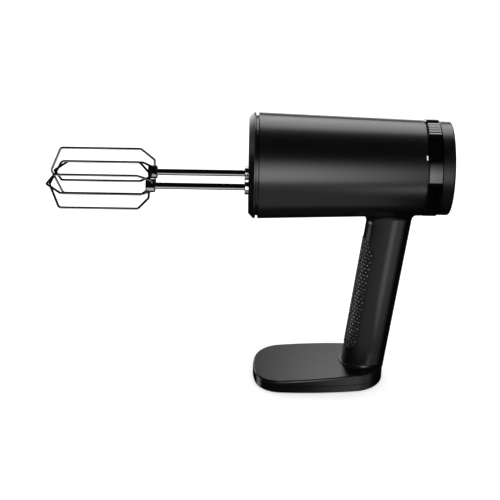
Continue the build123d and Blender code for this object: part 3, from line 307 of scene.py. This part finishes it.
MATERIALS = {
    "satin_plastic": satin_plastic("satin_plastic", BLACK),
    "rear_cap_plastic": satin_plastic("rear_cap_plastic", BLACK, 0.29),
    "dial_gloss": gloss_plastic("dial_gloss", DEEP_BLACK, 0.06, 1.95),
    "button_plastic": gloss_plastic("button_plastic", DEEP_BLACK, 0.16),
    "grip_rubber": rubber("grip_rubber", BLACK, 0.52),
    "pip_rubber": rubber("pip_rubber", BLACK, 0.22, 0.8 * MM, 1.9),
    "sole_rubber": rubber("sole_rubber", (0.012, 0.012, 0.012), 0.7),
    "mount_rubber": rubber("mount_rubber", (0.02, 0.02, 0.02), 0.65),
    "mark_print": printed_ink("mark_print", (0.85, 0.85, 0.85)),
    "beater_chrome": chrome("beater_chrome", (0.83, 0.83, 0.84), 0.06),
    "collar_chrome": chrome("collar_chrome", (0.45, 0.45, 0.46), 0.14),
    "spindle_steel": worked_metal("spindle_steel", (0.5, 0.5, 0.51), 0.22),
    "spring_steel": worked_metal("spring_steel", (0.45, 0.45, 0.46), 0.25, (1, 1, 1)),
    "screw_steel": worked_metal("screw_steel", (0.42, 0.42, 0.43), 0.3, (1, 1, 0.1)),
    "plate_steel": spangled_sheet("plate_steel", (0.55, 0.56, 0.57)),
    "can_steel": worked_metal("can_steel", (0.5, 0.5, 0.49), 0.28),
    "magnet_ferrite": sintered("magnet_ferrite", (0.07, 0.07, 0.075), 0.0),
    "core_steel": layered_steel("core_steel", (0.4, 0.4, 0.41)),
    "bearing_steel": worked_metal("bearing_steel", (0.6, 0.6, 0.6), 0.15, (1, 1, 0.1)),
    "winding_copper": wound_copper("winding_copper", (0.72, 0.34, 0.16)),
    "bush_bronze": sintered("bush_bronze", (0.55, 0.36, 0.17), 1.0),
    "holder_brass": worked_metal("holder_brass", (0.72, 0.54, 0.24), 0.3, (1, 0.1, 1)),
    "brush_carbon": sintered("brush_carbon", (0.03, 0.03, 0.03), 0.0),
    "pinion_brass": worked_metal("pinion_brass", (0.74, 0.57, 0.27), 0.24),
    "gear_nylon": nylon("gear_nylon", (0.72, 0.69, 0.6)),
    "inner_plastic": satin_plastic("inner_plastic", (0.03, 0.03, 0.032), 0.5, 0.6 * MM, 0.03 * MM),
    "board_resin": circuit_board("board_resin", (0.012, 0.11, 0.045)),
    "sink_aluminium": worked_metal("sink_aluminium", (0.75, 0.75, 0.76), 0.35, (0.1, 1, 1)),
    "wire_sleeve": gloss_plastic("wire_sleeve", (0.3, 0.012, 0.012), 0.32),
    "cell_wrap": cell_wrap("cell_wrap", (0.02, 0.11, 0.24)),
    "port_steel": worked_metal("port_steel", (0.55, 0.55, 0.57), 0.26, (0.1, 1, 1)),
}

slot_of = {row["node"]: row["material_slot"] for row in frame["record"]["subparts"]}
for node_name, node in frame["nodes"].items():
    finish = MATERIALS[slot_of[node_name]]
    for i in range(len(node.data.materials)):
        node.data.materials[i] = finish
    if not node.data.materials:
        node.data.materials.append(finish)

# ---- Grip lattice ------------------------------------------------------------
# The handle is a leaning ellipse, so the pips are laid out by height and by angle about its axis.

grip_low, grip_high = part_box("grip_inlay")
HANDLE_FOOT_X = 45.3 * MM
HANDLE_LEAN = 0.1078
HANDLE_HALF_DEPTH = 21.7 * MM
HANDLE_HALF_WIDTH = 19.8 * MM
PIP_PITCH = 7.4 * MM
PIP_COLUMN_STEP = 2.07 * MM
PIP_COLUMNS = 9
PIP_R = 1.15 * MM
PIP_HEIGHT = 0.6 * MM
# Share of the radius and share of the height, from the sunk rim to the flat top.
PIP_PROFILE = ((1.0, -0.2), (0.97, 0.35), (0.88, 0.72), (0.74, 0.93), (0.5, 0.99))
PIP_SIDES = 14
GRIP_MARGIN = 1.8 * MM
GRIP_CORNER = 12 * MM
PIP_SINK = 0.25 * MM


def handle_point(angle, z):
    """Point and outward normal on the front of the handle, angle measured from the front."""
    x = HANDLE_FOOT_X + HANDLE_LEAN * z - HANDLE_HALF_DEPTH * math.cos(angle)
    y = HANDLE_HALF_WIDTH * math.sin(angle)
    across = Vector((HANDLE_HALF_DEPTH * math.sin(angle), HANDLE_HALF_WIDTH * math.cos(angle), 0))
    along = Vector((HANDLE_LEAN, 0, 1))
    normal = along.cross(across).normalized()
    if normal.x * math.cos(angle) > 0:
        normal.negate()
    return Vector((x, y, z)), normal


def inside_grip(y, z):
    """True where a pip fits inside the inlay's rounded outline."""
    half_y = grip_high.y - GRIP_MARGIN
    half_z = (grip_high.z - grip_low.z) / 2 - GRIP_MARGIN
    mid_z = (grip_high.z + grip_low.z) / 2
    corner = GRIP_CORNER - GRIP_MARGIN
    over_y = abs(y) - (half_y - corner)
    over_z = abs(z - mid_z) - (half_z - corner)
    if abs(y) > half_y or abs(z - mid_z) > half_z:
        return False
    return over_y <= 0 or over_z <= 0 or math.hypot(over_y, over_z) <= corner


def add_pip(mesh, centre, normal):
    """Flat-topped pip with round shoulders, with its rim sunk a little."""
    side = normal.cross(Vector((0, 0, 1))).normalized()
    up = side.cross(normal).normalized()
    rings = []
    for share, rise in PIP_PROFILE:
        row = []
        for k in range(PIP_SIDES):
            a = 2 * math.pi * k / PIP_SIDES
            offset = (side * math.cos(a) + up * math.sin(a)) * PIP_R * share
            row.append(mesh.verts.new(centre + offset + normal * PIP_HEIGHT * rise))
        rings.append(row)
    top = mesh.verts.new(centre + normal * PIP_HEIGHT)
    bottom = mesh.verts.new(centre - normal * PIP_SINK)
    for low, high in zip(rings, rings[1:]):
        for k in range(PIP_SIDES):
            n = (k + 1) % PIP_SIDES
            mesh.faces.new((low[k], low[n], high[n], high[k]))
    for k in range(PIP_SIDES):
        n = (k + 1) % PIP_SIDES
        mesh.faces.new((rings[-1][k], rings[-1][n], top))
        mesh.faces.new((rings[0][n], rings[0][k], bottom))


def finish_mesh(mesh, name, material):
    """Object from a bmesh, smooth shaded, with one material."""
    bmesh.ops.recalc_face_normals(mesh, faces=mesh.faces)
    data = bpy.data.meshes.new(name)
    mesh.to_mesh(data)
    mesh.free()
    data.polygons.foreach_set("use_smooth", [True] * len(data.polygons))
    data.materials.append(material)
    piece = bpy.data.objects.new(name, data)
    bpy.context.scene.collection.objects.link(piece)
    return piece


def grip_pips():
    """Staggered lattice of pips over the grip inlay."""
    mesh = bmesh.new()
    mean_r = (HANDLE_HALF_DEPTH + HANDLE_HALF_WIDTH) / 2
    rows = int((grip_high.z - grip_low.z) / PIP_PITCH) + 1
    for column in range(-PIP_COLUMNS, PIP_COLUMNS + 1):
        angle = column * PIP_COLUMN_STEP / mean_r
        shift = 0.5 * (column % 2)
        for row in range(rows + 1):
            z = grip_low.z + (row + shift) * PIP_PITCH
            centre, normal = handle_point(angle, z)
            if inside_grip(centre.y, z):
                add_pip(mesh, centre, normal)
    return finish_mesh(mesh, "grip_pips", MATERIALS["pip_rubber"])


pips = grip_pips()
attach(pips, "housing")

# ---- Stage -------------------------------------------------------------------

WHITE = (1, 1, 1)
FLOOR_HALF_SIZE = 12.0
FLOOR_GLOW = 0.35
ROOM_RADIUS = 11.0
ROOM_GLOW = 1.0
WORLD_GREY = 0.003


def flat_emission(name, color, strength):
    """Even light from a surface."""
    mat = bpy.data.materials.new(name)
    mat.use_nodes = True
    tree = mat.node_tree
    tree.nodes.remove(tree.nodes["Principled BSDF"])
    light = tree.nodes.new("ShaderNodeEmission")
    light.inputs["Color"].default_value = (*color, 1)
    light.inputs["Strength"].default_value = strength
    tree.links.new(light.outputs["Emission"], tree.nodes["Material Output"].inputs["Surface"])
    return mat, tree, light


def world_ramp(tree, axis, start, end, low, high):
    """Value that runs from low to high between two places along a world axis, X, Y or Z."""
    geometry = tree.nodes.new("ShaderNodeNewGeometry")
    parts = tree.nodes.new("ShaderNodeSeparateXYZ")
    tree.links.new(geometry.outputs["Position"], parts.inputs["Vector"])
    return spread(tree, parts.outputs[axis], low, high, start, end)


def product(tree, first, second):
    """Two values multiplied."""
    node = tree.nodes.new("ShaderNodeMath")
    node.operation = "MULTIPLY"
    tree.links.new(first, node.inputs[0])
    tree.links.new(second, node.inputs[1])
    return node.outputs["Value"]


def hide_from_all_but_gloss(piece):
    """Show a card in reflections only. The room lights everything else."""
    piece.visible_camera = False
    piece.visible_diffuse = False
    piece.visible_shadow = False
    piece.visible_transmission = False


def skip_nodes(piece, nodes):
    """Keep a card's light off the named nodes."""
    group = bpy.data.collections.new(piece.name + "_skips")
    piece.light_linking.receiver_collection = group
    for node in nodes:
        group.objects.link(frame["nodes"][node])
    for row in group.collection_objects:
        row.light_linking.link_state = "EXCLUDE"


def card(name, centre, toward, size, glow, skips=()):
    """Softbox for reflections. Its glow is a strength, or ramps that are multiplied together.

    Each ramp is (axis, start, end, low, high) in world space.
    """
    mesh = bmesh.new()
    bmesh.ops.create_grid(mesh, x_segments=1, y_segments=1, size=0.5)
    data = bpy.data.meshes.new(name)
    mesh.to_mesh(data)
    mesh.free()
    piece = bpy.data.objects.new(name, data)
    bpy.context.scene.collection.objects.link(piece)
    look = (Vector(toward) - Vector(centre)).normalized()
    piece.matrix_world = (
        Matrix.Translation(centre)
        @ look.to_track_quat("Z", "Y").to_matrix().to_4x4()
        @ Matrix.Diagonal((*size, 1, 1))
    )
    ramps = glow if isinstance(glow, list) else []
    mat, tree, light = flat_emission(name + "_light", WHITE, 1.0 if ramps else glow)
    total = None
    for axis, start, end, low, high in ramps:
        ramp = world_ramp(tree, axis, start, end, low, high)
        total = ramp if total is None else product(tree, total, ramp)
    if total is not None:
        tree.links.new(total, light.inputs["Strength"])
    data.materials.append(mat)
    hide_from_all_but_gloss(piece)
    if skips:
        skip_nodes(piece, skips)


def floor_and_room():
    """Pale floor under a white room. Reflections see the cards and the dark world instead."""
    mesh = bmesh.new()
    bmesh.ops.create_grid(mesh, x_segments=1, y_segments=1, size=FLOOR_HALF_SIZE)
    data = bpy.data.meshes.new("floor")
    mesh.to_mesh(data)
    mesh.free()
    mat, tree, shader = new_material("floor_paper", (0.93, 0.93, 0.93), 0.9)
    paper = noise(tree, 1.2 * MM, 3)
    tone = mix_color(tree, paper, (0.92, 0.92, 0.92), (0.95, 0.95, 0.95))
    tree.links.new(tone, shader.inputs["Base Color"])
    shader.inputs["Emission Color"].default_value = (*WHITE, 1)
    shader.inputs["Emission Strength"].default_value = FLOOR_GLOW
    data.materials.append(mat)
    floor = bpy.data.objects.new("floor", data)
    bpy.context.scene.collection.objects.link(floor)
    floor.visible_glossy = False

    mesh = bmesh.new()
    bmesh.ops.create_uvsphere(mesh, u_segments=48, v_segments=24, radius=ROOM_RADIUS)
    data = bpy.data.meshes.new("room")
    mesh.to_mesh(data)
    mesh.free()
    data.materials.append(flat_emission("room_light", WHITE, ROOM_GLOW)[0])
    room = bpy.data.objects.new("room", data)
    bpy.context.scene.collection.objects.link(room)
    room.visible_glossy = False


BARREL_END = ["speed_dial", "rear_cap", "eject_button"]
BEATERS = [
    side + "_beater_" + piece for side in ("far", "near") for piece in ("shaft", "ferrule", "wires")
]
# What the cards face, on the mixer: the middle of the handle and the middle of the barrel.
HANDLE_MIDDLE = (0.05, 0, 0.1)
BARREL_MIDDLE = (0, 0, 0.23)

floor_and_room()

# The pale floor as reflections see it. Without it the steel and the barrel's lower half are black.
card(
    "floor_card",
    (-0.185, -0.405, 0.002),
    (-0.185, -0.405, 1),
    (0.58, 0.65),
    0.46,
    ["speed_dial"],
)

# Two softboxes along the barrel, brightest at the beaters' end.
card(
    "front_softbox",
    (0.085, -0.80, 0.43),
    (0.085, 0, 0.43),
    (0.37, 0.76),
    [("Z", 0.34, 0.75, 3.1, 0.15), ("X", -0.02, 0.243, 2.2, 0.25)],
    BEATERS,
)
card(
    "rear_softbox",
    (0.325, 0.978, 1.435),
    (0.325, -0.122, 0.885),
    (0.85, 1.42),
    [("X", -0.1, 0.12, 5.2, 3.6), ("Z", 0.8, 1.15, 0.72, 1.0)],
    BEATERS,
)

# The upright handle reflects what lies below the horizon, so its cards are lower than the floor.
card(
    "handle_card",
    (0.55, -1.15, -0.54),
    HANDLE_MIDDLE,
    (0.56, 0.44),
    [("Z", -0.7, -0.4, 1.0, 3.9)],
    BARREL_END + BEATERS,
)
card(
    "handle_side_card",
    (1.05, -0.62, -0.5),
    HANDLE_MIDDLE,
    (0.75, 0.44),
    [("Z", -0.7, -0.4, 0.6, 1.9), ("X", 0.8, 1.3, 1.0, 0.3)],
    BARREL_END + BEATERS,
)
card("left_card", (-1.07, 0.32, -0.45), (0.03, 0, 0.1), (0.42, 0.34), 4.4, ["front_cap"] + BEATERS)

# Small lights: the far side, the grip's pips, and the chamfer of the front cap.
card("back_softbox", (0.05, 0.95, 0.17), (0.05, 0, 0.17), (0.9, 0.22), 2.2, BEATERS)
card("pip_card", (-0.65, -1.0, 0.06), (0.04, 0, 0.1), (0.22, 0.22), 40.0, list(frame["nodes"]))
card("back_left_card", (-0.75, 0.95, 0.3), BARREL_MIDDLE, (0.7, 0.55), 2.2, BEATERS)
card("far_left_card", (-1.1, 0.35, 0.5), BARREL_MIDDLE, (0.5, 0.2), 1.2, BEATERS)

world = bpy.data.worlds.new("world")
world.use_nodes = True
world.node_tree.nodes["Background"].inputs["Color"].default_value = (*3 * [WORLD_GREY], 1)
bpy.context.scene.world = world
bpy.context.scene.view_settings.view_transform = "Standard"

# ---- Camera ------------------------------------------------------------------

CAMERA_AT = Vector((-0.08108, -1.12255, 0.68926))
CAMERA_ELEVATION = math.radians(26.031)
CAMERA_YAW = math.radians(0.592)
CAMERA_ROLL = math.radians(1.174)
CAMERA_LENS = 91.893  # in mm
CAMERA_SENSOR = 36.0  # in mm


def make_camera():
    """Camera at the viewing angle, rolled slightly."""
    level = math.cos(CAMERA_ELEVATION)
    ahead = Vector(
        (math.sin(CAMERA_YAW) * level, math.cos(CAMERA_YAW) * level, -math.sin(CAMERA_ELEVATION))
    )
    right = Vector((math.cos(CAMERA_YAW), -math.sin(CAMERA_YAW), 0))
    up = right.cross(ahead)
    rolled_right = right * math.cos(CAMERA_ROLL) + up * math.sin(CAMERA_ROLL)
    rolled_up = up * math.cos(CAMERA_ROLL) - right * math.sin(CAMERA_ROLL)
    turn = Matrix((rolled_right, rolled_up, -ahead)).transposed()
    data = bpy.data.cameras.new("camera")
    data.lens = CAMERA_LENS
    data.sensor_width = CAMERA_SENSOR
    camera = bpy.data.objects.new("camera", data)
    bpy.context.scene.collection.objects.link(camera)
    camera.matrix_world = Matrix.Translation(CAMERA_AT) @ turn.to_4x4()
    bpy.context.scene.camera = camera


make_camera()
